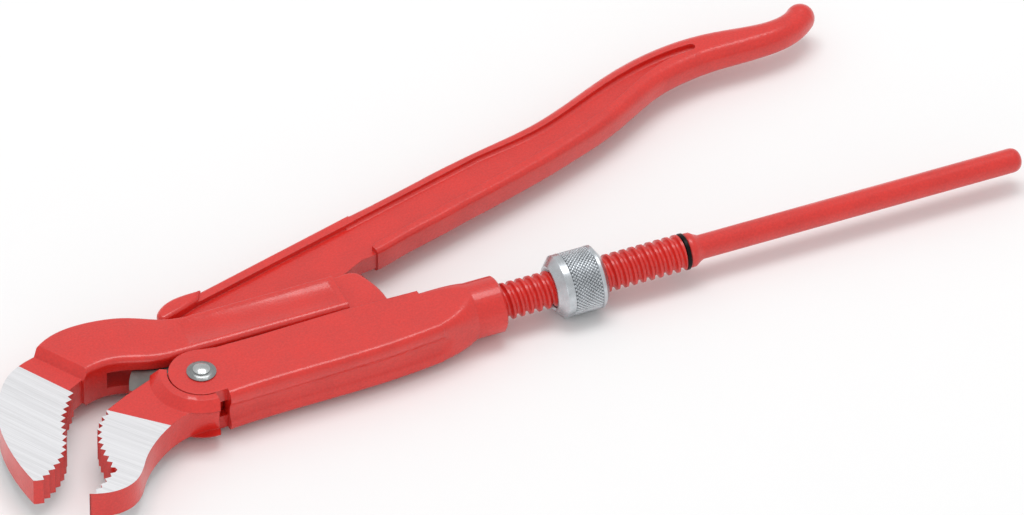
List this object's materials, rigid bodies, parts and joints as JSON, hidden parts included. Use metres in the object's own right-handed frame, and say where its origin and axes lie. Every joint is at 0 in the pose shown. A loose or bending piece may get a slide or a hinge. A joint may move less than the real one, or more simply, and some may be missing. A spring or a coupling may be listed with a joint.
{
  "type": "pipe wrench",
  "caption": "Swedish-pattern corner pipe wrench with S-shaped toothed jaws, sliding sleeve, knurled adjusting nut on a threaded leg and an I-section handle leg.",
  "frame": {"origin": "on the spindle axis where the round handle starts, in the middle plane of the tool", "axes": "+X along the spindle to the end of the round handle, +Y to the I-section handle, +Z out of the tool's middle plane, up when it lies on its side"},
  "size_m": [0.436, 0.1666, 0.0256],
  "materials": {
    "red_enamel": "glossy red enamel over forged steel; the sides of both jaws are ground bare",
    "bright_steel": "bright plated steel",
    "zinc_plate": "zinc-plated steel with a diamond knurl",
    "black_steel": "blackened spring steel"
  },
  "bodies": {
    "hook_leg": {"hook_jaw_leg": "red_enamel"},
    "sleeve_body": {"sleeve": "red_enamel", "pivot_rivet": "bright_steel", "rivet_washer": "bright_steel"},
    "handle_body": {"handle_leg": "red_enamel"},
    "ring_body": {"retaining_ring": "black_steel"},
    "nut_body": {"adjusting_nut": "zinc_plate"}
  },
  "joints": [
    {"name": "sleeve_slide", "type": "slide", "parent": "hook_leg", "child": "sleeve_body", "axis": [1, 0, 0], "range_m": [-0.003, 0.014]},
    {"name": "jaw_pivot", "type": "hinge", "parent": "sleeve_body", "child": "handle_body", "pos_m": [-0.2135, -0.0026, 0], "axis": [0, 0, 1], "range_deg": [-12, 2]},
    {"name": "nut_turn", "type": "hinge", "parent": "hook_leg", "child": "ring_body", "pos_m": [-0.008, 0, 0], "axis": [1, 0, 0], "range_deg": [-720, 3240]},
    {"name": "nut_travel", "type": "slide", "parent": "ring_body", "child": "nut_body", "axis": [1, 0, 0], "range_m": [-0.0074, 0.0333]}
  ],
  "couplings": [
    {"joint": "nut_turn", "follows": "nut_travel", "rad_per_m": 1698.2}
  ]
}
